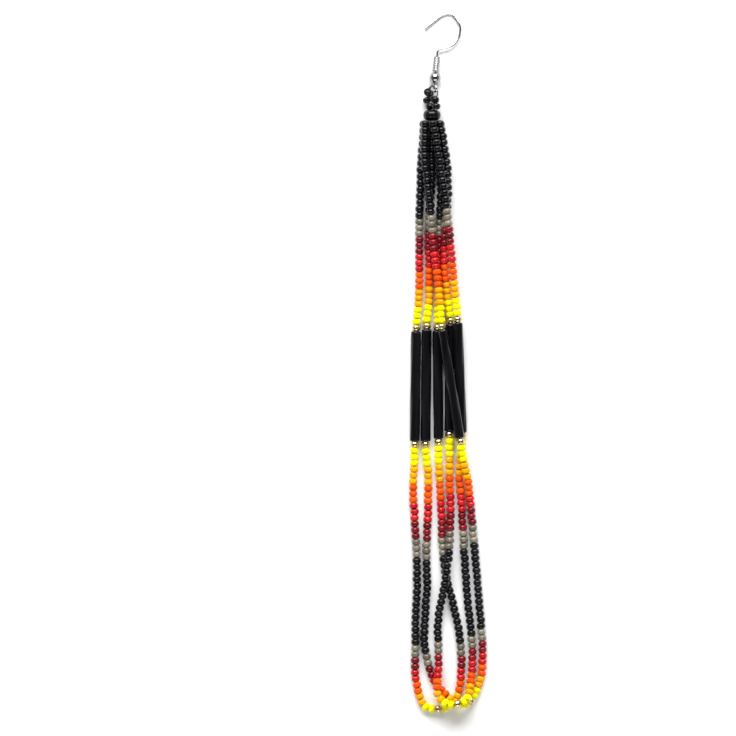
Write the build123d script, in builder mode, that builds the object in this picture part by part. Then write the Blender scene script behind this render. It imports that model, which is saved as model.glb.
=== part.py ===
"""Beaded fringe earring, lying on its back as it does when it is laid down.

A French ear wire with a coil and a ball carries, by a thread, a few small beads and a larger
collector bead. Six strands leave the collector: a string of seed beads, a gold bead, a long bugle
bead, a gold bead, and a second string that joins another strand's string at the bottom of a loop.
"""

import os
from math import asin, cos, degrees, pi, radians, sin, sqrt, tan

from build123d import *

# Driving dimensions in millimetres
# +X runs to the right, +Y towards the ear wire, +Z up from the surface that the earring lies on
seed_diameter = 2.35
seed_length = 1.6
seed_bore = 1.0
seed_rounding = 0.65

gold_diameter = 2.4
gold_length = 1.7
gold_bore = 1.0
gold_rounding = 0.65

bugle_diameter = 2.8
bugle_length = 30.0
bugle_bore = 1.1
bugle_rim = 0.12

collector_diameter = 4.8
collector_length = 2.85
collector_bore = 1.8
collector_rounding = 1.3

thread_diameter = 0.3
bead_gap = 0.08
loop_gap = 0.3

wire_diameter = 0.64
wire_clearance = 0.04
ball_diameter = 3.1
coil_wire = 0.55
coil_turns = 8
eye_radius = 0.86
eye_neck_radius = 0.7
eye_turn = 20
eye_lean = 12
eye_lean_bend = 0.6
eye_open_angle = 32
shank_slant = 5.3
neck_length = 1.75
neck_bend = 0.8
arch_width = 5.65
arch_slope = 15
arch_front_bend = 5.0
side_length = 5.5
side_bend = 2.5
crown_back = 3.05
crown_rise = 3.5
crown_bend = 1.8
leg_shoulder = 2.4
leg_shoulder_drop = 1.15
leg_shoulder_bend = 3.0
leg_length = 5.8
leg_angle = 43.6

upper_fringe_length = 57.3
lower_fringe_length = 72.95

# The collector hangs everything: the middle of its bore at its lower face
collector_x = -4.4
collector_foot_y = 65.96

# Rows of small beads above the collector, then the eye of the ear wire
top_row_gap = 0.17
single_bead_gap = 0.45
eye_rise = 1.08
ball_offset = 0.85
top_row_1 = collector_foot_y + collector_length + top_row_gap + seed_length / 2
top_row_2 = top_row_1 + seed_length + top_row_gap
top_row_3 = top_row_2 + seed_length + single_bead_gap
eye_y = top_row_3 + eye_rise

ball_radius = ball_diameter / 2
wire_radius = wire_diameter / 2
eye_outer_radius = eye_radius + wire_radius
eye_drop = ball_radius + bead_gap + eye_lean_bend * radians(eye_lean) + eye_outer_radius
ball_x = collector_x + ball_offset
ball_y = eye_y + eye_drop

bugle_row_y = collector_foot_y - upper_fringe_length
foot_row_y = bugle_row_y - bugle_length

# Upper strings, from the collector down
# Columns: seed diameters to the right of the collector, share of upper_fringe_length below it, and
# height of the string's middle above that of a string on the surface, in seed diameters
upper_routes = {
    1: [(-0.89, 0.0, 0.0), (-1.02, 0.085, 0.0), (-1.24, 0.175, 0.0), (-1.32, 0.31, 0.0),
        (-1.44, 0.435, 0.0), (-1.47, 0.555, 0.0), (-1.42, 0.69, 0.0), (-1.46, 0.84, 0.0)],
    2: [(0.04, 0.0, 0.42), (0.04, 0.03, 0.4), (0.03, 0.1, 0.1), (-0.05, 0.185, 0.0),
        (0.02, 0.3, 0.0), (-0.34, 0.425, 0.0), (-0.43, 0.545, 0.0), (-0.3, 0.69, 0.0),
        (-0.28, 0.84, 0.0)],
    3: [(0.97, 0.0, 0.0), (1.05, 0.09, 0.0), (1.0, 0.185, 0.0), (1.06, 0.31, 0.0),
        (0.93, 0.435, 0.0), (0.83, 0.565, 0.0), (0.87, 0.71, 0.0), (0.8, 0.85, 0.0)],
    4: [(-0.78, 0.0, 1.02), (-0.87, 0.09, 1.05), (-0.91, 0.185, 0.98), (-0.43, 0.32, 1.04),
        (-0.15, 0.435, 1.04), (0.15, 0.59, 0.9), (0.66, 0.74, 1.04), (0.91, 0.86, 1.08)],
    5: [(0.86, 0.0, 1.04), (1.36, 0.1, 0.98), (1.72, 0.195, 0.74), (1.92, 0.32, 0.54),
        (1.68, 0.435, 0.7), (1.45, 0.565, 0.86), (1.49, 0.69, 0.88), (1.85, 0.85, 0.26)],
    6: [(0.03, 0.0, 1.66), (0.46, 0.09, 1.57), (0.85, 0.185, 1.42), (1.34, 0.32, 1.5),
        (1.81, 0.445, 1.78), (2.09, 0.575, 1.76), (2.38, 0.71, 1.36), (2.73, 0.84, 1.06)],
}

# Bugles, by their upper ends
# Columns: bugle diameters to the right of the collector and above bugle_row_y, lean to the right in
# degrees, heights of the upper and the lower end above a bugle on the surface in diameters, and
# share of bugle_length, because bugles vary
bugle_places = {
    1: (-1.54, -0.04, -0.7, 0.0, 0.0, 0.995),
    2: (-0.5, 0.16, -0.6, 0.0, 0.0, 1.015),
    3: (0.54, 0.03, 0.6, 0.0, 0.0, 0.98),
    4: (0.99, 0.08, 9.2, 0.98, 1.06, 0.99),
    5: (1.8, 0.66, -0.5, 0.0, 0.0, 0.97),
    6: (2.49, 0.8, 2.3, 0.78, 0.0, 1.0),
}

# Lower strings, from the gold bead under the bugle down to the loop's gold bead
# Columns: seed diameters to the right of the collector, share of lower_fringe_length below
# foot_row_y, and height as for the upper strings
lower_routes = {
    1: [(-2.1, 0.1, 0.0), (-2.2, 0.182, 0.0), (-1.98, 0.294, 0.0), (-1.81, 0.408, 0.0),
        (-1.68, 0.52, 0.0), (-1.88, 0.632, 0.0), (-1.93, 0.744, 0.0), (-1.98, 0.83, 0.0),
        (-1.86, 0.9, 0.0), (-1.32, 0.972, 0.0), (-0.5, 1.0, 0.0)],
    2: [(-0.48, 0.094, 0.0), (-0.4, 0.182, 0.0), (-0.47, 0.28, 0.0), (-0.64, 0.392, 0.0),
        (-0.51, 0.52, 0.0), (-0.72, 0.638, 0.0), (-0.96, 0.744, 0.0), (-0.47, 0.834, 0.0),
        (0.32, 0.904, 0.0), (1.64, 0.944, 0.76), (2.38, 0.97, 1.06), (3.06, 0.982, 0.92),
        (3.79, 0.9825, 0.6)],
    3: [(0.79, 0.094, 0.0), (0.98, 0.182, 0.0), (1.11, 0.28, 0.0), (1.17, 0.392, 0.0),
        (1.64, 0.512, 0.0), (2.63, 0.624, 0.0), (3.34, 0.744, 0.0), (3.45, 0.85, 0.0),
        (3.21, 0.925, 0.0), (2.73, 0.966, 0.0), (2.0, 0.991, 0.0)],
    4: [(3.68, 0.078, 1.18), (4.12, 0.142, 0.62), (4.42, 0.212, 0.0), (4.75, 0.332, 0.0),
        (5.12, 0.452, 0.0), (5.43, 0.58, 0.0), (5.73, 0.692, 0.0), (5.94, 0.776, 0.0),
        (5.84, 0.862, 0.0), (5.44, 0.912, 0.0), (5.02, 0.942, 0.0)],
    5: [(2.0, 0.064, 0.0), (2.07, 0.16, 0.0), (2.2, 0.272, 0.0), (2.02, 0.392, 0.74),
        (1.64, 0.504, 1.16), (1.02, 0.602, 0.56), (0.61, 0.692, 0.0), (0.79, 0.788, 0.0),
        (0.77, 0.864, 0.66), (0.55, 0.916, 1.42), (0.66, 0.942, 1.45), (1.04, 0.963, 1.55),
        (1.5, 0.975, 1.76), (2.0, 0.981, 1.97)],
    6: [(3.34, 0.05, 0.0), (3.17, 0.11, 0.0), (3.25, 0.17, 0.0), (3.49, 0.266, 0.0),
        (3.68, 0.384, 0.0), (3.92, 0.512, 0.0), (4.19, 0.616, 0.0), (4.66, 0.736, 0.0),
        (4.68, 0.81, 0.0), (4.62, 0.865, 0.15), (4.46, 0.905, 0.75), (4.25, 0.943, 1.5),
        (3.88, 0.965, 1.87)],
}

# Gold beads at the bottoms of the loops
# Columns: seed diameters to the right of the collector, share of lower_fringe_length below
# foot_row_y, height as for the strings, heading and climb of the thread in degrees, and the two
# strands that it joins
loop_places = {
    1: (0.72, 1.0, 0.0, 3, 0, (1, 3)),
    2: (4.49, 0.968, 0.2, 44, -20, (2, 4)),
    3: (2.92, 0.976, 2.0, 10, -3, (5, 6)),
}


def drilled_bead(centre, way, diameter, length, bore, rounding):
    """Bead turned about the way of its thread: a ring profile with rounded outer corners."""
    wall = (diameter - bore) / 2
    across = Plane(centre, z_dir=way).x_dir
    with BuildPart() as bead:
        with BuildSketch(Plane(centre, x_dir=across, z_dir=across.cross(way))) as profile:
            with Locations((bore / 2 + wall / 2, 0)):
                Rectangle(wall, length)
            outer_corners = profile.vertices().group_by(Axis.X)[-1]
            fillet(outer_corners, min(rounding, 0.95 * wall, 0.45 * length))
        revolve(axis=Axis(centre, way))
    return bead.part


def corner_radii(points):
    """Radius at each inner point: 0.45 of the shorter run over the tangent of half the turn."""
    radii = []
    for before, here, after in zip(points, points[1:], points[2:]):
        run_in = here - before
        run_out = after - here
        half_turn = radians(run_in.get_angle(run_out) / 2)
        radii.append(0.45 * min(run_in.length, run_out.length) / tan(half_turn))
    return radii


def round_tube(name, points, diameter):
    """Tube of round section along straight runs that are joined by tangent arcs."""
    radii = corner_radii(points)
    with BuildPart() as tube:
        with BuildLine():
            route = FilletPolyline(*points, radius=radii)
        with BuildSketch(Plane(route @ 0, z_dir=route % 0)):
            Circle(diameter / 2)
        sweep(path=route)
    share = tube.part.volume / (route.length * pi * diameter**2 / 4)
    print(f"{name}: length {route.length:.1f}, volume over section times length {share:.4f},",
          "radii", " ".join(f"{radius:.1f}" for radius in radii))
    return tube.part


def straight_tube(start, end, diameter):
    """Straight round rod from one point to another."""
    with BuildPart() as rod:
        with BuildSketch(Plane(start, z_dir=end - start)):
            Circle(diameter / 2)
        extrude(amount=(end - start).length)
    return rod.part


def string_points(rows, top_y, length):
    """Points of a string's route from its rows of diameters across, share along and height."""
    points = []
    for across, along, height in rows:
        z = seed_diameter * (0.5 + height)
        x = collector_x + seed_diameter * across
        points.append(Vector(x, top_y - along * length, z))
    return points


pieces = {}

# Ear wire: one bent wire, tilted so that it rests on its ball and on the top of its arch
arch_height = ball_radius + coil_wire * coil_turns + neck_length
arch_height += arch_width * tan(radians(arch_slope)) + side_length + crown_rise
wire_tilt = asin((ball_radius - wire_radius) / arch_height)
slant = radians(shank_slant)
across = Vector(cos(slant), -sin(slant), 0)
along = Vector(sin(slant) * cos(wire_tilt), cos(slant) * cos(wire_tilt), -sin(wire_tilt))
ball_centre = Vector(ball_x, ball_y, ball_radius)
arch_plane = Plane(ball_centre, x_dir=across, z_dir=across.cross(along))
shank_plane = Plane(ball_centre, z_dir=along)

coil_foot = ball_radius + bead_gap
coil_length = coil_wire * coil_turns
neck = coil_foot + coil_length + neck_length
front_corner = neck + arch_width * tan(radians(arch_slope))
side_corner = front_corner + side_length
crown = (arch_width - crown_back, side_corner + crown_rise)
leg_top = (crown[0] - leg_shoulder, crown[1] - leg_shoulder_drop)
leg_end = (leg_top[0] - leg_length * cos(radians(leg_angle)),
           leg_top[1] - leg_length * sin(radians(leg_angle)))

# The eye's ring is centred under the shank, which swings into it through a short neck that leans
# to the right
eye_middle = -eye_drop
eye_neck_length = sqrt((eye_radius + eye_neck_radius)**2 - eye_neck_radius**2)
eye_start = eye_middle + eye_neck_length + eye_lean_bend * radians(eye_lean)
eye_swing = degrees(asin(eye_neck_length / (eye_radius + eye_neck_radius)))
eye_sweep = 360 - (90 - eye_swing) - eye_open_angle
eye_across = across * cos(radians(eye_lean)) + along * sin(radians(eye_lean))
eye_along = along * cos(radians(eye_lean)) - across * sin(radians(eye_lean))
eye_sideways = arch_plane.z_dir * cos(radians(eye_turn)) + eye_across * sin(radians(eye_turn))

with BuildPart() as ear_hook:
    with BuildLine(arch_plane):
        arch = FilletPolyline(
            (0, eye_start), (0, neck), (arch_width, front_corner), (arch_width, side_corner),
            crown, leg_top, leg_end,
            radius=[neck_bend, arch_front_bend, side_bend, crown_bend, leg_shoulder_bend],
        )
    with BuildSketch(Plane(arch @ 0, z_dir=arch % 0)):
        Circle(wire_radius)
    sweep(path=arch)
    with BuildLine(arch_plane):
        lean_arc = JernArc((0, eye_start), (0, -1), eye_lean_bend, eye_lean)
    with BuildSketch(Plane(lean_arc @ 0, z_dir=lean_arc % 0)):
        Circle(wire_radius)
    sweep(path=lean_arc)
    eye_plane = Plane(lean_arc @ 1, x_dir=eye_sideways, z_dir=eye_sideways.cross(eye_along))
    with BuildLine(eye_plane) as eye:
        eye_neck = JernArc((0, 0), (0, -1), eye_neck_radius, -eye_swing)
        JernArc(eye_neck @ 1, eye_neck % 1, eye_radius, eye_sweep)
    eye_path = eye.wires()[0]
    with BuildSketch(Plane(eye_path @ 0, z_dir=eye_path % 0)):
        Circle(wire_radius)
    sweep(path=eye_path)
pieces["ear_hook"] = ear_hook.part

# Coil: close turns of a finer wire on a thin sleeve that slips over the shank
coil_bore_radius = wire_radius + wire_clearance
coil_section_plane = Plane(ball_centre, x_dir=across, z_dir=across.cross(along))
with BuildPart() as ear_coil:
    with BuildSketch(coil_section_plane):
        for turn in range(coil_turns):
            with Locations((coil_bore_radius + coil_wire / 2, coil_foot + (turn + 0.5) * coil_wire)):
                Circle(coil_wire / 2)
        with Locations((coil_bore_radius + coil_wire / 4, coil_foot + coil_length / 2)):
            Rectangle(coil_wire / 2, coil_length)
    revolve(axis=Axis(ball_centre, along))
pieces["ear_coil"] = ear_coil.part

# Ball: drilled, on the shank between the coil and the eye
with BuildPart() as ear_ball:
    with Locations(shank_plane):
        Sphere(ball_radius)
        Hole(wire_radius + wire_clearance)
pieces["ear_ball"] = ear_ball.part

# Small beads above the collector, each turned along the thread that runs through it
# Columns: seed diameters to the right of the collector, row, and height of the middle above the
# surface in seed diameters
collector_centre = Vector(collector_x, collector_foot_y + collector_length / 2,
                          collector_diameter / 2)
top_bead_places = {
    1: (-0.48, top_row_3, 1.5),
    2: (-0.56, top_row_2, 0.66),
    3: (0.35, top_row_2, 1.11),
    4: (-0.21, top_row_1, 0.7),
    5: (0.48, top_row_1, 1.45),
    6: (-0.28, top_row_3 - 0.15 * seed_length, 0.51),
}
top_beads = {}
for number, (right, row, height) in top_bead_places.items():
    top_beads[number] = Vector(collector_x + seed_diameter * right, row, seed_diameter * height)

# The thread climbs from the second row to the first bead, passes through the eye of the ear wire
# and comes down again. Its other pass starts in the sixth bead, which lies under the first.
# Columns: seed diameters to the right of the collector, above eye_y and above the surface
thread_places = {
    "climb": [(-0.54, -0.98, 0.76), (-0.52, -0.92, 1.12)],
    "eye": [(-0.44, -0.11, 1.72), (0.0, 0.37, 0.79), (0.35, 0.03, 0.74), (0.63, -0.16, 0.71),
            (0.7, -0.66, 0.93)],
    "second_pass": [(-0.27, -0.93, 0.5), (-0.29, -0.09, 0.5)],
}
threads = {}
for name, places in thread_places.items():
    threads[name] = []
    for right, above, height in places:
        threads[name].append(Vector(collector_x + seed_diameter * right,
                                    eye_y + seed_diameter * above, seed_diameter * height))

# Inside the collector the two ends of the thread lie on either side of the middle of its bore
mouth_step = Vector(0.18 * collector_bore, 0, 0.24 * collector_bore)
mouth = collector_centre + Vector(0, collector_length / 2 - thread_diameter, 0)
inner_step = Vector(0.11 * collector_bore, 0, 0.11 * collector_bore)
inner_end = collector_centre - Vector(0, collector_length / 6, 0)
thread_points = [
    inner_end - inner_step,
    mouth - mouth_step,
    top_beads[4],
    top_beads[2],
    *threads["climb"],
    top_beads[1],
    *threads["eye"],
    top_beads[3],
    top_beads[5],
    mouth + mouth_step,
    inner_end + inner_step,
]
second_pass = [threads["second_pass"][0], top_beads[6], threads["second_pass"][1], threads["eye"][1]]
thread = round_tube("thread_loop", thread_points, thread_diameter)
thread += round_tube("second pass", second_pass, thread_diameter)
pieces["thread_loop"] = thread

for number, centre in top_beads.items():
    passes = thread_points if centre in thread_points else second_pass
    spot = passes.index(centre)
    way = passes[spot + 1] - passes[spot - 1]
    pieces[f"top_bead_{number}"] = drilled_bead(
        centre, way.normalized(), seed_diameter, seed_length, seed_bore, seed_rounding)

pieces["collector_bead"] = drilled_bead(
    collector_centre, Vector(0, 1, 0), collector_diameter, collector_length,
    collector_bore, collector_rounding)

# Strands: upper string, gold bead, bugle and gold bead on one straight thread
string_tops = {}
for strand, (right, above, lean, top_height, foot_height, share) in bugle_places.items():
    top = Vector(collector_x + bugle_diameter * right, bugle_row_y + bugle_diameter * above,
                 bugle_diameter * (0.5 + top_height))
    fall = bugle_diameter * (foot_height - top_height)
    length = share * bugle_length
    level = sqrt(length**2 - fall**2)
    foot = top + Vector(level * sin(radians(lean)), -level * cos(radians(lean)), fall)
    down = (foot - top).normalized()
    gold_step = bead_gap + gold_length / 2
    upper_gold = top - down * gold_step
    lower_gold = foot + down * gold_step
    string_end = top - down * (gold_length + 2 * bead_gap)
    string_tops[strand] = foot + down * (gold_length + 2 * bead_gap)

    upper_points = string_points(upper_routes[strand], collector_foot_y - bead_gap,
                                 upper_fringe_length)
    pieces[f"upper_string_{strand}"] = round_tube(
        f"upper_string_{strand}", upper_points + [string_end], seed_diameter)
    pieces[f"upper_gold_{strand}"] = drilled_bead(
        upper_gold, down, gold_diameter, gold_length, gold_bore, gold_rounding)
    pieces[f"bugle_{strand}"] = drilled_bead(
        (top + foot) * 0.5, down, bugle_diameter, length, bugle_bore, bugle_rim)
    pieces[f"lower_gold_{strand}"] = drilled_bead(
        lower_gold, down, gold_diameter, gold_length, gold_bore, gold_rounding)
    pieces[f"core_thread_{strand}"] = straight_tube(
        upper_gold - down * gold_length / 2, lower_gold + down * gold_length / 2, thread_diameter)

# Loops: two lower strings that meet at the gold bead at the bottom
for loop, (right, below, height, heading, climb, strands) in loop_places.items():
    way = Vector(cos(radians(heading)) * cos(radians(climb)),
                 sin(radians(heading)) * cos(radians(climb)), sin(radians(climb)))
    centre = Vector(collector_x + seed_diameter * right,
                    foot_row_y - below * lower_fringe_length,
                    gold_diameter / 2 + seed_diameter * height)
    for strand, side in zip(strands, (-1, 1)):
        string_foot = centre + way * side * (gold_length / 2 + loop_gap)
        lower_points = string_points(lower_routes[strand], foot_row_y, lower_fringe_length)
        pieces[f"lower_string_{strand}"] = round_tube(
            f"lower_string_{strand}", [string_tops[strand]] + lower_points + [string_foot],
            seed_diameter)
    pieces[f"loop_gold_{loop}"] = drilled_bead(
        centre, way, gold_diameter, gold_length, gold_bore, gold_rounding)
    pieces[f"loop_thread_{loop}"] = straight_tube(
        centre - way * gold_length / 2, centre + way * gold_length / 2, thread_diameter)

os.makedirs("parts", exist_ok=True)
for name, piece in pieces.items():
    piece.label = name
    export_step(piece, f"parts/{name}.step")
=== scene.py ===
from math import cos, pi, radians, sin

import bpy
import numpy as np
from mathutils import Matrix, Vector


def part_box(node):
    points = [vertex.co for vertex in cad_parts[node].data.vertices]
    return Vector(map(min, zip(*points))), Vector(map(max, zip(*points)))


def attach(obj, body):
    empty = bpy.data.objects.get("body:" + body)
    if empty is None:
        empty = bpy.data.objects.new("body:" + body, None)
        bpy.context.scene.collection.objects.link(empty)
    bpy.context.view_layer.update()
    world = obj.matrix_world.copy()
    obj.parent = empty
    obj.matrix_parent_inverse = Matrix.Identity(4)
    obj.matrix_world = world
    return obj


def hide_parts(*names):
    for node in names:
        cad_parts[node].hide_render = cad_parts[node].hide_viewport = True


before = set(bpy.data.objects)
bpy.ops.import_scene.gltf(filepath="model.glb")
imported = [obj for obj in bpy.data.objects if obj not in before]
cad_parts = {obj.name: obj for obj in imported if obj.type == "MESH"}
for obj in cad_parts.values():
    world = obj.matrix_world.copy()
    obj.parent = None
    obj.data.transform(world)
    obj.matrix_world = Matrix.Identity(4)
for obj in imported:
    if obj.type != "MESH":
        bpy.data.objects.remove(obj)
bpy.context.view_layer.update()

# Ear wire: a French hook bent from one length of steel wire, 0.64 mm thick, with a bright silver plate. Its
# front leg runs down through a coil and a ball of the same metal and ends in a small eye for the thread.
# The plate is smooth, with faint marks from drawing the wire and from handling.


def new_material(name, sockets):
    """Material whose shader has the given constant values on its own sockets."""
    material = bpy.data.materials.new(name)
    material.use_nodes = True
    shader = material.node_tree.nodes["Principled BSDF"]
    for socket, value in sockets.items():
        shader.inputs[socket].default_value = value
    return material, material.node_tree, shader


def grain(tree, scale, low, high, detail=3.0, stretch=(1.0, 1.0, 1.0)):
    """Noise on Object coordinates, stretched along the axes and spread between a low and a high value."""
    place = tree.nodes.new("ShaderNodeTexCoord")
    mapping = tree.nodes.new("ShaderNodeMapping")
    mapping.inputs["Scale"].default_value = stretch
    noise = tree.nodes.new("ShaderNodeTexNoise")
    noise.inputs["Scale"].default_value = scale
    noise.inputs["Detail"].default_value = detail
    spread = tree.nodes.new("ShaderNodeMapRange")
    spread.inputs["From Min"].default_value = 0.3
    spread.inputs["From Max"].default_value = 0.7
    spread.inputs["To Min"].default_value = low
    spread.inputs["To Max"].default_value = high
    tree.links.new(place.outputs["Object"], mapping.inputs["Vector"])
    tree.links.new(mapping.outputs["Vector"], noise.inputs["Vector"])
    tree.links.new(noise.outputs["Fac"], spread.inputs["Value"])
    return spread.outputs["Result"]


def add_bump(tree, shader, height, depth):
    """Bump on the shader's normal from a height between 0 and 1 that stands for depth metres."""
    bump = tree.nodes.new("ShaderNodeBump")
    bump.inputs["Distance"].default_value = depth
    bump.inputs["Strength"].default_value = 1.0
    tree.links.new(height, bump.inputs["Height"])
    tree.links.new(bump.outputs["Normal"], shader.inputs["Normal"])


def mixed_colour(tree, share, dark, light):
    """Colour between a dark and a light one by a share from 0 to 1."""
    mix = tree.nodes.new("ShaderNodeMix")
    mix.data_type = "RGBA"
    mix.inputs["A"].default_value = (*dark, 1.0)
    mix.inputs["B"].default_value = (*light, 1.0)
    tree.links.new(share, mix.inputs["Factor"])
    return mix.outputs["Result"]


def plate(name, dark, light, rim, roughness, scale, dent):
    """Polished metal plate between a dark and a light shade, tinted at the rim.

    Its polish is uneven, and shallow dents of the given depth lie three times as close as its shades."""
    material, tree, shader = new_material(name, {"Metallic": 1.0, "Specular Tint": (*rim, 1.0)})
    shade = mixed_colour(tree, grain(tree, scale, 0, 1), dark, light)
    tree.links.new(shade, shader.inputs["Base Color"])
    tree.links.new(grain(tree, 2500, roughness, 2 * roughness), shader.inputs["Roughness"])
    add_bump(tree, shader, grain(tree, 3 * scale, 0, 1, detail=1.0), dent)
    return material


silver_rim = (0.5, 0.5, 0.51)
# The one plate gets three shades: the lightest on the wire, the darkest on the ball and one between on the
# coil. These differences are painted light and shade, standing in for the bright and dark reflections each
# part shows.
wire_silver_painted_light = plate("wire_silver_plate_painted_light", dark=(0.56, 0.56, 0.57), light=(0.68, 0.68, 0.68),
                     rim=silver_rim, roughness=0.09, scale=900, dent=0.000005)
ball_silver_painted_dark = plate("ball_silver_plate_painted_dark", dark=(0.34, 0.34, 0.345), light=(0.46, 0.46, 0.46),
                      rim=silver_rim, roughness=0.08, scale=900, dent=0.000008)
for node, silver in (("ear_hook", wire_silver_painted_light), ("ear_ball", ball_silver_painted_dark)):
    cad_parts[node].data.materials.clear()
    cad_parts[node].data.materials.append(silver)

# Coil: eight close turns of a finer plated wire, wound on a rod and slipped over the front leg, where it
# rests on the ball. Its ends are cut off square.
coil_wire_radius = 0.00027
coil_turns = 8
coil_axis_radius = 0.000635
coil_steps = 36
coil_sides = 12
# The coil's shade lies between the wire's and the ball's: painted light and shade on the same plate, for
# the reflections the coil shows.
coil_silver = plate("coil_silver_plate", dark=(0.42, 0.42, 0.425), light=(0.54, 0.54, 0.54),
                    rim=silver_rim, roughness=0.2, scale=900, dent=0.000008)


def spot(node):
    """Middle of a node's box as an array."""
    low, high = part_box(node)
    return (np.array(low) + np.array(high)) / 2


def frames_along(ways):
    """Unit vectors across each way: side is Z cross way, and up is way cross side. No way is upright."""
    ways = ways / np.linalg.norm(ways, axis=-1, keepdims=True)
    side = np.cross([0.0, 0.0, 1.0], ways)
    side /= np.linalg.norm(side, axis=-1, keepdims=True)
    return side, np.cross(ways, side), ways


def grid_faces(rows, columns, closed_rows):
    """Corners of the faces of a grid that closes round its columns: each point, its next two and the last.

    A grid that doesn't close round its rows too gets a face across each end."""
    row = np.arange(rows if closed_rows else rows - 1)[:, None]
    column = np.arange(columns)[None, :]
    next_row = (row + 1) % rows
    next_column = (column + 1) % columns
    corners = [row * columns + column, row * columns + next_column,
               next_row * columns + next_column, next_row * columns + column]
    faces = np.stack(np.broadcast_arrays(*corners), axis=-1).reshape(-1, 4).tolist()
    if not closed_rows:
        faces.append(list(range(columns))[::-1])
        faces.append(list(range((rows - 1) * columns, rows * columns)))
    return faces


def put_piece(name, points, faces, materials, face_materials=None, tones=None):
    """Smooth mesh piece from points and faces, with a material number a face and a tone a point."""
    mesh = bpy.data.meshes.new(name)
    mesh.from_pydata(points.reshape(-1, 3).tolist(), [], faces)
    for material in materials:
        mesh.materials.append(material)
    if face_materials is not None:
        mesh.polygons.foreach_set("material_index", face_materials.astype(np.int32))
    if tones is not None:
        layer = mesh.attributes.new("tone", "FLOAT", "POINT")
        layer.data.foreach_set("value", tones.astype(np.float32))
    mesh.shade_smooth()
    piece = bpy.data.objects.new(name, mesh)
    bpy.context.collection.objects.link(piece)
    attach(piece, "root")
    return piece


def tube_points(line, radius, sides):
    """Rings round a line: each point of the line plus the radius times the circle across its way."""
    side, up, _ = frames_along(np.gradient(line, axis=0))
    turn = np.linspace(0, 2 * pi, sides, endpoint=False)[None, :, None]
    ring = np.cos(turn) * side[:, None, :] + np.sin(turn) * up[:, None, :]
    return line[:, None, :] + radius * ring


# The wire's axis is a circle round the front leg that rises evenly along it, and its section is a circle
# across that, between the leg's way and outward
coil_middle = spot("ear_coil")
leg_side, leg_up, leg_way = frames_along(coil_middle - spot("ear_ball"))
turn = np.linspace(0, 2 * pi * coil_turns, coil_steps * coil_turns)
rise = (turn / turn[-1] - 0.5) * 2 * coil_wire_radius * (coil_turns - 1)
outward = np.cos(turn)[:, None] * leg_side + np.sin(turn)[:, None] * leg_up
helix = coil_middle + rise[:, None] * leg_way + coil_axis_radius * outward
section = np.linspace(0, 2 * pi, coil_sides, endpoint=False)[None, :, None]
ring = np.cos(section) * leg_way + np.sin(section) * outward[:, None, :]
coil = put_piece("ear_coil_wire", helix[:, None, :] + coil_wire_radius * ring,
                 grid_faces(len(helix), coil_sides, False), [coil_silver])
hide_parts("ear_coil")

# Thread: black waxed beading thread, 0.3 mm thick. It comes up out of the collector through the small
# black beads, passes through the eye of the ear wire and goes down again on the other side. A second pass
# holds the small bead that lies half hidden under the highest one.
thread_radius = 0.00015
seed_diameter = 0.00235
seed_length = 0.0016
collector_low, collector_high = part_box("collector_bead")
collector_middle = spot("collector_bead")
collector_x = collector_middle[0]
collector_foot_y = collector_low[1]
collector_bore = 0.0018
collector_length = collector_high[1] - collector_low[1]
top_row_gap = 0.00017
single_bead_gap = 0.00045
eye_rise = 0.00108
top_row_1 = collector_high[1] + top_row_gap + seed_length / 2
top_row_2 = top_row_1 + seed_length + top_row_gap
top_row_3 = top_row_2 + seed_length + single_bead_gap
eye_y = top_row_3 + eye_rise


def smooth_route(points):
    """Points of the smooth spline that these control points pull: a NURBS of order 3 read as a mesh."""
    curve = bpy.data.curves.new("route", "CURVE")
    curve.dimensions = "3D"
    curve.resolution_u = 16
    spline = curve.splines.new("NURBS")
    spline.points.add(len(points) - 1)
    spline.points.foreach_set("co", np.column_stack([points, np.ones(len(points))]).ravel())
    spline.order_u = 3
    spline.use_endpoint_u = True
    holder = bpy.data.objects.new("route", curve)
    mesh = bpy.data.meshes.new_from_object(holder)
    line = np.empty(3 * len(mesh.vertices))
    mesh.vertices.foreach_get("co", line)
    bpy.data.objects.remove(holder)
    bpy.data.curves.remove(curve)
    bpy.data.meshes.remove(mesh)
    return line.reshape(-1, 3)


def black_thread():
    """Waxed black thread: dull black with the fine rib of its twist."""
    material, tree, shader = new_material("black_thread", {"Roughness": 0.55, "Sheen Weight": 0.1})
    tone = mixed_colour(tree, grain(tree, 6000, 0, 1), (0.004, 0.004, 0.005), (0.02, 0.02, 0.022))
    tree.links.new(tone, shader.inputs["Base Color"])
    add_bump(tree, shader, grain(tree, 12000, 0, 1), 0.00001)
    return material


thread = black_thread()

# Columns of both: seed diameters to the right of the collector, row of the bead or seed diameters above
# eye_y, and seed diameters above the surface. The sixth bead is the one on the second pass.
top_bead_places = {
    1: (-0.48, top_row_3, 1.5),
    2: (-0.56, top_row_2, 0.66),
    3: (0.35, top_row_2, 1.11),
    4: (-0.21, top_row_1, 0.7),
    5: (0.48, top_row_1, 1.45),
    6: (-0.28, top_row_3 - 0.15 * seed_length, 0.51),
}
thread_places = {
    "climb": [(-0.54, -0.98, 0.76), (-0.52, -0.92, 1.12)],
    "eye": [(-0.44, -0.11, 1.72), (0.0, 0.37, 0.79), (0.35, 0.03, 0.74), (0.63, -0.16, 0.71),
            (0.7, -0.66, 0.93)],
    "second_pass": [(-0.27, -0.93, 0.5), (-0.29, -0.09, 0.5)],
}
top_beads = {}
for number, (right, row, height) in top_bead_places.items():
    top_beads[number] = np.array([collector_x + seed_diameter * right, row, seed_diameter * height])
threads = {}
for name, places in thread_places.items():
    threads[name] = np.array([collector_x, eye_y, 0]) + seed_diameter * np.array(places)

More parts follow.
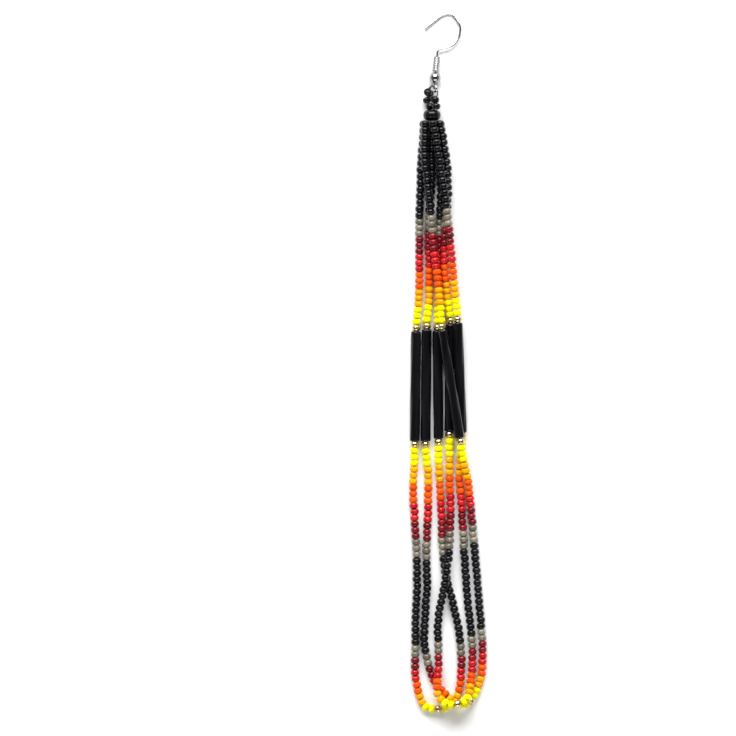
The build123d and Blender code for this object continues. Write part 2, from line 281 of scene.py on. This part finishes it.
# Inside the collector the two ends of the thread lie on either side of the middle of its bore
mouth_step = np.array([0.18 * collector_bore, 0, 0.24 * collector_bore])
mouth = collector_middle + [0, collector_length / 2 - 2 * thread_radius, 0]
inner_step = np.array([0.11 * collector_bore, 0, 0.11 * collector_bore])
inner_end = collector_middle - [0, collector_length / 6, 0]
first_pass = np.array([inner_end - inner_step, mouth - mouth_step, top_beads[4], top_beads[2],
                       *threads["climb"], top_beads[1], *threads["eye"], top_beads[3], top_beads[5],
                       mouth + mouth_step, inner_end + inner_step])
second_pass = np.array([threads["second_pass"][0], top_beads[6], threads["second_pass"][1],
                        threads["eye"][1]])
thread_sides = 10
first_tube = tube_points(smooth_route(first_pass), thread_radius, thread_sides)
second_tube = tube_points(smooth_route(second_pass), thread_radius, thread_sides)
pass_faces = grid_faces(len(first_tube), thread_sides, False)
for face in grid_faces(len(second_tube), thread_sides, False):
    pass_faces.append([len(first_tube) * thread_sides + corner for corner in face])
top_thread = put_piece("top_thread", np.vstack([first_tube, second_tube]), pass_faces, [thread])
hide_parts("thread_loop")
bare_threads = [f"core_thread_{strand}" for strand in range(1, 7)]
bare_threads += [f"loop_thread_{loop}" for loop in range(1, 4)]
for node in bare_threads:
    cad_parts[node].data.materials.clear()
    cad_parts[node].data.materials.append(thread)

# Small beads above the collector and the collector itself: drawn black glass, cut, tumbled until its edges
# are round, and pierced for the thread, with a high gloss. The small ones sit in three rows of two.
seed_bore_share = 0.425
bulge_share = 0.92
oval_power = 0.95
fine_steps = 16
fine_around = 28
collector_steps = 28
collector_around = 48


def bead_profile(bore_share, angles):
    """Closed section of a drilled bead, a squarish oval: cosine and sine of an angle to a power under 1.

    The angle is 0 at the widest place and a half turn in the bore. Radii are shares of the bead's radius,
    and heights are shares of half its length. The outside takes most of the wall, and the bore is nearly
    straight."""
    wall = 1 - bore_share
    bulge = bulge_share * wall
    radial = np.sign(np.cos(angles)) * np.abs(np.cos(angles)) ** oval_power
    radius = (1 - bulge) + np.where(radial > 0, bulge * radial, (wall - bulge) * radial)
    height = np.sign(np.sin(angles)) * np.abs(np.sin(angles)) ** oval_power
    return radius, height


def bead_points(middles, ways, radii, half_lengths, profile, around):
    """Grid of each bead: its middle, plus the profile's radius round its way, plus the height along it."""
    side, up, way = frames_along(ways)
    radius, height = profile
    turn = np.linspace(0, 2 * pi, around, endpoint=False)
    circle = np.cos(turn)[None, :, None] * side[:, None, :] + np.sin(turn)[None, :, None] * up[:, None, :]
    across = radii[:, None, None, None] * radius[None, :, None, None] * circle[:, None, :, :]
    along = half_lengths[:, None, None, None] * height[None, :, None, None] * way[:, None, None, :]
    return middles[:, None, None, :] + across + along


def bead_faces(count, steps, around):
    """Faces of that many beads, each a grid that is closed both ways."""
    one = np.array(grid_faces(steps, around, True))
    return (one[None, :, :] + (np.arange(count) * steps * around)[:, None, None]).reshape(-1, 4).tolist()


def glass(name, dark, light, roughness, sockets, streak=1.0):
    """Glossy bead glass between two colours, by the sum of the bead's tone and a faint streaky grain."""
    material, tree, shader = new_material(name, {"IOR": 1.5, **sockets})
    tone = tree.nodes.new("ShaderNodeAttribute")
    tone.attribute_name = "tone"
    both = tree.nodes.new("ShaderNodeMath")
    both.operation = "ADD"
    both.use_clamp = True
    tree.links.new(tone.outputs["Fac"], both.inputs[0])
    tree.links.new(grain(tree, 1800, -0.25 * streak, 0.25 * streak), both.inputs[1])
    tree.links.new(mixed_colour(tree, both.outputs["Value"], dark, light), shader.inputs["Base Color"])
    tree.links.new(grain(tree, 2600, roughness, 1.9 * roughness), shader.inputs["Roughness"])
    add_bump(tree, shader, grain(tree, 1500, 0, 1), 0.00001)
    return material


black_glass = glass("black_glass", dark=(0.0018, 0.0018, 0.0024), light=(0.006, 0.006, 0.008),
                    roughness=0.06, sockets={"Specular IOR Level": 0.3})
rng = np.random.default_rng(12)
fine_angles = np.linspace(0, 2 * pi, fine_steps, endpoint=False)
small_profile = bead_profile(seed_bore_share, fine_angles)
for number, middle in top_beads.items():
    route = second_pass if number == 6 else first_pass
    at = np.argmin(np.linalg.norm(route - middle, axis=1))
    way = route[at + 1] - route[at - 1]
    points = bead_points(middle[None], way[None], np.array([seed_diameter / 2]),
                         np.array([seed_length / 2]), small_profile, fine_around)
    bead = put_piece(f"small_black_bead_{number}", points, bead_faces(1, fine_steps, fine_around),
                     [black_glass], tones=np.full(fine_steps * fine_around, rng.random()))
    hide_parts(f"top_bead_{number}")

collector_radius = (collector_high[0] - collector_low[0]) / 2
collector_angles = np.linspace(0, 2 * pi, collector_steps, endpoint=False)
collector_profile = bead_profile(collector_bore / 2 / collector_radius, collector_angles)
points = bead_points(collector_middle[None], np.array([[0.0, 1.0, 0.0]]), np.array([collector_radius]),
                     np.array([collector_length / 2]), collector_profile, collector_around)
collector = put_piece("collector", points, bead_faces(1, collector_steps, collector_around),
                      [black_glass], tones=np.full(collector_steps * collector_around, 0.5))
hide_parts("collector_bead")

# Gold beads: round metal beads with a gold plate, drilled, one at each end of every bugle and one at the
# bottom of each loop. Their polish is bright, with a few small dents.
gold_diameter = 0.0024
gold_length = 0.0017
gold_bore_share = 0.42
bead_gap = 0.00008
loop_gap = 0.00012
gold = plate("gold_plate", dark=(0.6, 0.46, 0.2), light=(0.8, 0.67, 0.37), rim=(1.0, 1.0, 1.0),
             roughness=0.09, scale=1200, dent=0.00002)
gold_profile = bead_profile(gold_bore_share, fine_angles)


def put_gold(node, way):
    """Gold bead in the place of a node, turned along its thread."""
    points = bead_points(spot(node)[None], way[None], np.array([gold_diameter / 2]),
                         np.array([gold_length / 2]), gold_profile, fine_around)
    bead = put_piece(f"{node}_bead", points, bead_faces(1, fine_steps, fine_around), [gold])
    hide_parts(node)


strand_ways = {}
for strand in range(1, 7):
    way = spot(f"lower_gold_{strand}") - spot(f"upper_gold_{strand}")
    strand_ways[strand] = way / np.linalg.norm(way)
    put_gold(f"upper_gold_{strand}", strand_ways[strand])
    put_gold(f"lower_gold_{strand}", strand_ways[strand])

# Columns: heading and climb of the thread through a loop's gold bead in degrees, and its two strands
loops = {1: (3, 0, (1, 3)), 2: (44, -20, (2, 4)), 3: (10, -3, (5, 6))}
string_feet = {}
for loop, (heading, climb, strands) in loops.items():
    level = cos(radians(climb))
    way = np.array([cos(radians(heading)) * level, sin(radians(heading)) * level, sin(radians(climb))])
    put_gold(f"loop_gold_{loop}", way)
    for strand, side in zip(strands, (-1, 1)):
        string_feet[strand] = spot(f"loop_gold_{loop}") + way * side * (gold_length / 2 + loop_gap)

# Bugles: black glass tubes 30 mm long, drawn with six soft facets that wind slowly round them, cut to
# length and fire-polished, so that their ends are rounded. Each hangs on its strand between two gold beads.
bugle_diameter = 0.0028
bugle_bore = 0.0011
bugle_end_round = 0.0007
bugle_end_drop = 0.00026
facet_depth = 0.05
facet_turn_length = 0.016
bugle_rows = 60
bugle_around = 48


def bugle_points(top, foot, first_turn):
    """Faceted tube: its radius loses a share of (1 - cosine of six times a winding angle) / 2.

    The rows run down the outside, whose ends drop by a quarter oval, and back up through the bore."""
    length = np.linalg.norm(foot - top)
    way = (foot - top) / length
    side, up, _ = frames_along(way)
    ease = (1 - np.cos(np.linspace(0, pi, bugle_rows))) / 2
    down = ease * length
    from_end = np.minimum(down, length - down)
    fall = np.clip(1 - from_end / bugle_end_round, 0, 1)
    outer = bugle_diameter / 2 - bugle_end_drop * (1 - np.sqrt(1 - fall**2))
    turn = np.linspace(0, 2 * pi, bugle_around, endpoint=False)
    winding = turn[None, :] - first_turn - down[:, None] / facet_turn_length * pi / 3
    outside = outer[:, None] * (1 - facet_depth * (1 - np.cos(6 * winding)) / 2)
    inside = np.full((2, bugle_around), bugle_bore / 2)
    radii = np.concatenate([outside, inside])
    rows = np.concatenate([down, [length, 0]])
    circle = np.cos(turn)[:, None] * side + np.sin(turn)[:, None] * up
    return top + rows[:, None, None] * way + radii[:, :, None] * circle[None]


def bugle_glass():
    """Black glass of the bugles, with faint draw lines."""
    material, tree, shader = new_material("bugle_glass", {"IOR": 1.5, "Specular IOR Level": 0.3})
    tone = mixed_colour(tree, grain(tree, 700, 0, 1, stretch=(1.0, 0.08, 1.0)),
                        (0.0015, 0.0015, 0.002), (0.006, 0.006, 0.008))
    tree.links.new(tone, shader.inputs["Base Color"])
    tree.links.new(grain(tree, 1500, 0.06, 0.16, stretch=(1.0, 0.1, 1.0)), shader.inputs["Roughness"])
    add_bump(tree, shader, grain(tree, 1200, 0, 1, stretch=(1.0, 0.06, 1.0)), 0.00001)
    return material


black_bugle = bugle_glass()
for strand in range(1, 7):
    step = strand_ways[strand] * (gold_length / 2 + bead_gap)
    points = bugle_points(spot(f"upper_gold_{strand}") + step, spot(f"lower_gold_{strand}") - step,
                          rng.random() * pi / 3)
    bugle = put_piece(f"black_bugle_{strand}", points, grid_faces(bugle_rows + 2, bugle_around, True),
                      [black_bugle])
    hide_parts(f"bugle_{strand}")

# Strings: seed beads of drawn and tumbled glass on black thread. Their colours run in bands of three from
# black through gray, reds, orange and amber to yellow beside the bugles' gold beads, and in bands of two
# at the bottom of the loops. The beads vary a little in size and tone and sit slightly askew.
upper_fringe_length = 0.0573
lower_fringe_length = 0.07295
bugle_length = 0.03
bugle_row_y = collector_foot_y - upper_fringe_length
foot_row_y = bugle_row_y - bugle_length
bead_play = 0.00004
bead_around = 10
seed_angles = np.radians([-105, -65, -22, 22, 65, 105, 180])

# How far beads stray: slope across the string and up, shift across it, and shares of the seed radius
slope_across = 0.1
slope_up = 0.08
shift_across = 0.00006
shift_limit = 1.5
mean_radius_share = 1.025
radius_stray = 0.025
narrowest_share = 0.97
widest_share = 1.06
resting_share = 1.01

# Columns: seed diameters to the right of the collector, share of the fringe's length, and height above a
# string on the surface in seed diameters
upper_routes = {
    1: [(-0.89, 0.0, 0.0), (-1.02, 0.085, 0.0), (-1.24, 0.175, 0.0), (-1.32, 0.31, 0.0),
        (-1.44, 0.435, 0.0), (-1.47, 0.555, 0.0), (-1.42, 0.69, 0.0), (-1.46, 0.84, 0.0)],
    2: [(0.04, 0.0, 0.42), (0.04, 0.03, 0.4), (0.03, 0.1, 0.1), (-0.05, 0.185, 0.0),
        (0.02, 0.3, 0.0), (-0.34, 0.425, 0.0), (-0.43, 0.545, 0.0), (-0.3, 0.69, 0.0),
        (-0.28, 0.84, 0.0)],
    3: [(0.97, 0.0, 0.0), (1.05, 0.09, 0.0), (1.0, 0.185, 0.0), (1.06, 0.31, 0.0),
        (0.93, 0.435, 0.0), (0.83, 0.565, 0.0), (0.87, 0.71, 0.0), (0.8, 0.85, 0.0)],
    4: [(-0.78, 0.0, 1.02), (-0.87, 0.09, 1.05), (-0.91, 0.185, 0.98), (-0.43, 0.32, 1.04),
        (-0.15, 0.435, 1.04), (0.15, 0.59, 0.9), (0.66, 0.74, 1.04), (0.91, 0.86, 1.08)],
    5: [(0.86, 0.0, 1.04), (1.36, 0.1, 0.98), (1.72, 0.195, 0.74), (1.92, 0.32, 0.54),
        (1.68, 0.435, 0.7), (1.45, 0.565, 0.86), (1.49, 0.69, 0.88), (1.85, 0.85, 0.26)],
    6: [(0.03, 0.0, 1.66), (0.46, 0.09, 1.57), (0.85, 0.185, 1.42), (1.34, 0.32, 1.5),
        (1.81, 0.445, 1.78), (2.09, 0.575, 1.76), (2.38, 0.71, 1.36), (2.73, 0.84, 1.06)],
}
lower_routes = {
    1: [(-2.1, 0.1, 0.0), (-2.2, 0.182, 0.0), (-1.98, 0.294, 0.0), (-1.81, 0.408, 0.0),
        (-1.68, 0.52, 0.0), (-1.88, 0.632, 0.0), (-1.93, 0.744, 0.0), (-1.98, 0.83, 0.0),
        (-1.86, 0.9, 0.0), (-1.32, 0.972, 0.0), (-0.5, 1.0, 0.0)],
    2: [(-0.48, 0.094, 0.0), (-0.4, 0.182, 0.0), (-0.47, 0.28, 0.0), (-0.64, 0.392, 0.0),
        (-0.51, 0.52, 0.0), (-0.72, 0.638, 0.0), (-0.96, 0.744, 0.0), (-0.47, 0.834, 0.0),
        (0.32, 0.904, 0.0), (1.64, 0.944, 0.76), (2.38, 0.97, 1.06), (3.06, 0.982, 0.92),
        (3.79, 0.9825, 0.6)],
    3: [(0.79, 0.094, 0.0), (0.98, 0.182, 0.0), (1.11, 0.28, 0.0), (1.17, 0.392, 0.0),
        (1.64, 0.512, 0.0), (2.63, 0.624, 0.0), (3.34, 0.744, 0.0), (3.45, 0.85, 0.0),
        (3.21, 0.925, 0.0), (2.73, 0.966, 0.0), (2.0, 0.991, 0.0)],
    4: [(3.68, 0.078, 1.18), (4.12, 0.142, 0.62), (4.42, 0.212, 0.0), (4.75, 0.332, 0.0),
        (5.12, 0.452, 0.0), (5.43, 0.58, 0.0), (5.73, 0.692, 0.0), (5.94, 0.776, 0.0),
        (5.84, 0.862, 0.0), (5.44, 0.912, 0.0), (5.02, 0.942, 0.0)],
    5: [(2.0, 0.064, 0.0), (2.07, 0.16, 0.0), (2.2, 0.272, 0.0), (2.02, 0.392, 0.74),
        (1.64, 0.504, 1.16), (1.02, 0.602, 0.56), (0.61, 0.692, 0.0), (0.79, 0.788, 0.0),
        (0.77, 0.864, 0.66), (0.55, 0.916, 1.42), (0.66, 0.942, 1.45), (1.04, 0.963, 1.55),
        (1.5, 0.975, 1.76), (2.0, 0.981, 1.97)],
    6: [(3.34, 0.05, 0.0), (3.17, 0.11, 0.0), (3.25, 0.17, 0.0), (3.49, 0.266, 0.0),
        (3.68, 0.384, 0.0), (3.92, 0.512, 0.0), (4.19, 0.616, 0.0), (4.66, 0.736, 0.0),
        (4.68, 0.81, 0.0), (4.62, 0.865, 0.15), (4.46, 0.905, 0.75), (4.25, 0.943, 1.5),
        (3.88, 0.965, 1.87)],
}

# Columns: dark and light shade, streaks, roughness, light that the glass scatters inside, and gloss
bead_glasses = {
    "black": ((0.0018, 0.0018, 0.0024), (0.006, 0.006, 0.008), 0.3, 0.06, 0.0, 0.3),
    "gray": ((0.11, 0.095, 0.069), (0.25, 0.22, 0.168), 1.0, 0.07, 0.0, 0.55),
    "dark_red": ((0.12, 0.002, 0.006), (0.255, 0.005, 0.011), 0.6, 0.06, 0.1, 0.35),
    "red": ((0.42, 0.005, 0.009), (0.59, 0.013, 0.013), 0.6, 0.06, 0.2, 0.33),
    "orange": ((0.70, 0.068, 0.002), (0.84, 0.11, 0.003), 0.5, 0.06, 0.35, 0.15),
    "amber": ((0.76, 0.32, 0.001), (0.88, 0.42, 0.003), 0.5, 0.06, 0.4, 0.12),
    "yellow": ((0.87, 0.78, 0.001), (0.96, 0.90, 0.002), 0.4, 0.06, 0.45, 0.1),
}
bead_materials = []
for name, (dark, light, streak, roughness, scatter, gloss) in bead_glasses.items():
    sockets = {"Subsurface Weight": scatter, "Subsurface Scale": 0.0006, "Specular IOR Level": gloss}
    bead_materials.append(glass(f"{name}_glass_beads", dark, light, roughness, sockets, streak))
colour_order = list(bead_glasses)

# Beads of each colour from the top of a string down: black beads, and the first red beads of the lower
# strings. The black beads are a little longer than the others, by a share that varies with the string.
upper_blacks = {1: 15, 2: 15, 3: 15, 4: 15, 5: 14, 6: 14}
lower_blacks = {1: 14, 2: 15, 3: 14, 4: 14, 5: 15, 6: 14}
lower_reds = {1: 3, 2: 3, 3: 3, 4: 2, 5: 3, 6: 3}
upper_stretch = {1: 1.11, 2: 1.015, 3: 1.13, 4: 1.045, 5: 1.07, 6: 1.06}
lower_stretch = {1: 1.03, 2: 1.0, 3: 1.04, 4: 1.05, 5: 1.01, 6: 1.03}


def string_route(rows, top_y, length):
    """Points of a route from its rows of diameters across, share along and height."""
    rows = np.array(rows)
    return np.column_stack([collector_x + seed_diameter * rows[:, 0], top_y - length * rows[:, 1],
                            seed_diameter * (0.5 + rows[:, 2])])


def put_string(name, node, route, colours, stretch):
    """Beads strung along the smooth route: each takes its share of the line, less a little play.

    A black bead's share is longer than the others' by the stretch. The thread follows the same line and
    goes straight on into the bore of the gold bead at its foot."""
    line = smooth_route(route)
    walked = np.concatenate([[0], np.cumsum(np.linalg.norm(np.diff(line, axis=0), axis=1))])
    lengths = [stretch if colour == "black" else 1 for colour in colours]
    edges = np.concatenate([[0], np.cumsum(lengths)]) / np.sum(lengths) * walked[-1]
    stations = (edges[1:] + edges[:-1]) / 2

    def at(distance):
        return np.column_stack([np.interp(distance, walked, line[:, i]) for i in range(3)])

    middles = at(stations)
    side, up, ways = frames_along(at(stations + seed_length / 2) - at(stations - seed_length / 2))
    count = len(colours)
    ways = ways + slope_across * rng.normal(size=(count, 1)) * side
    ways = ways + slope_up * rng.normal(size=(count, 1)) * up
    shifts = rng.normal(size=(count, 1)).clip(-shift_limit, shift_limit)
    middles = middles + shift_across * shifts * side
    shares = mean_radius_share + radius_stray * rng.normal(size=count)
    radii = seed_diameter / 2 * shares.clip(narrowest_share, widest_share)
    half_lengths = (np.diff(edges) - bead_play) / 2
    middles[:, 2] = np.maximum(middles[:, 2], resting_share * radii)
    steps = len(seed_angles)
    points = bead_points(middles, ways, radii, half_lengths, bead_profile(seed_bore_share, seed_angles),
                         bead_around)
    numbers = np.array([colour_order.index(colour) for colour in colours])
    tones = np.repeat(rng.random(count), steps * bead_around)
    string = put_piece(name, points, bead_faces(count, steps, bead_around), bead_materials,
                       np.repeat(numbers, steps * bead_around), tones)
    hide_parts(node)
    last_step = line[-1] - line[-2]
    into_gold = line[-1] + last_step / np.linalg.norm(last_step) * 3 * loop_gap
    thread_tube = tube_points(np.vstack([line, into_gold]), thread_radius, 6)
    string_thread = put_piece(f"{name}_thread", thread_tube, grid_faces(len(thread_tube), 6, False),
                              [thread])
    print(f"{name}: line {walked[-1] * 1000:.1f} mm, {count} beads")


for strand in range(1, 7):
    end_step = strand_ways[strand] * (gold_length / 2 + bead_gap)
    route = string_route(upper_routes[strand], collector_foot_y - bead_gap, upper_fringe_length)
    route = np.vstack([route, spot(f"upper_gold_{strand}") - end_step])
    colours = ["black"] * upper_blacks[strand]
    for colour in colour_order[1:]:
        colours += [colour] * 3
    put_string(f"upper_beads_{strand}", f"upper_string_{strand}", route, colours, upper_stretch[strand])

    route = string_route(lower_routes[strand], foot_row_y, lower_fringe_length)
    route = np.vstack([spot(f"lower_gold_{strand}") + end_step, route, string_feet[strand]])
    # From yellow up to gray, without black
    colours = []
    for colour in colour_order[:0:-1]:
        colours += [colour] * (lower_reds[strand] if colour == "red" else 3)
    colours += ["black"] * lower_blacks[strand]
    for colour in colour_order[1:]:
        colours += [colour] * 2
    put_string(f"lower_beads_{strand}", f"lower_string_{strand}", route, colours, lower_stretch[strand])

# Surface: a plain sheet of white card that the earring lies on. It is matt, with a faint uneven tone, and
# reaches far past the view on every side.
card_half = 1.5
card_corners = [(-card_half, -card_half, 0), (card_half, -card_half, 0), (card_half, card_half, 0),
                (-card_half, card_half, 0)]
card_mesh = bpy.data.meshes.new("card")
card_mesh.from_pydata(card_corners, [], [(0, 1, 2, 3)])
card = bpy.data.objects.new("card", card_mesh)
bpy.context.collection.objects.link(card)
card_material, card_tree, card_shader = new_material("white_card", {"Roughness": 0.8, "IOR": 1.3})
card_tone = mixed_colour(card_tree, grain(card_tree, 400, 0, 1), (0.9, 0.9, 0.9), (0.93, 0.93, 0.93))
card_tree.links.new(card_tone, card_shader.inputs["Base Color"])
card_mesh.materials.append(card_material)

# Light: a wide soft box beyond the ear wire, a weak one on the other side, and an even room that is darker
# towards the camera


def soft_box(name, place, width, height, radiance):
    """Soft box that faces the middle of the earring: its power is pi times its area times its radiance."""
    light = bpy.data.lights.new(name, "AREA")
    light.shape = "RECTANGLE"
    light.size = width
    light.size_y = height
    light.energy = pi * width * height * radiance
    lamp = bpy.data.objects.new(name, light)
    lamp.location = place
    lamp.rotation_euler = (card.location - lamp.location).to_track_quat("-Z", "Y").to_euler()
    bpy.context.collection.objects.link(lamp)


soft_box("key_light", place=(-0.07, 1.07, 0.9), width=1.6, height=0.84, radiance=10.2)
soft_box("fill_light", place=(0.07, -1.05, 0.92), width=1.3, height=0.7, radiance=2.6)

world = bpy.data.worlds.new("pale_room")
bpy.context.scene.world = world
world.use_nodes = True
world_tree = world.node_tree
room = world_tree.nodes["Background"]
room.inputs["Strength"].default_value = 1.0
direction = world_tree.nodes.new("ShaderNodeTexCoord")
axes = world_tree.nodes.new("ShaderNodeSeparateXYZ")
shade = world_tree.nodes.new("ShaderNodeValToRGB")
shade.color_ramp.elements[0].position = 0.0
shade.color_ramp.elements[0].color = (0.4, 0.4, 0.405, 1)
shade.color_ramp.elements[1].position = 0.8
shade.color_ramp.elements[1].color = (0.13, 0.13, 0.132, 1)
overhead = shade.color_ramp.elements.new(1.0)
overhead.color = (0.08, 0.08, 0.08, 1)
world_tree.links.new(direction.outputs["Generated"], axes.inputs["Vector"])
world_tree.links.new(axes.outputs["Z"], shade.inputs["Fac"])
world_tree.links.new(shade.outputs["Color"], room.inputs["Color"])

# Camera: straight above, as for the photograph, with the earring right of the middle of the frame. The
# lens is long, and its focal length follows from the height and from the width that the frame takes in.
view_width = 0.2007
camera_height = 1.1
sensor_width = 0.036
camera_data = bpy.data.cameras.new("camera")
camera_data.sensor_width = sensor_width * 1000
camera_data.lens = sensor_width * 1000 * camera_height / view_width
camera = bpy.data.objects.new("camera", camera_data)
camera.location = (-0.0218, -0.0014, camera_height)
bpy.context.collection.objects.link(camera)
bpy.context.scene.camera = camera
bpy.context.scene.view_settings.view_transform = "Standard"
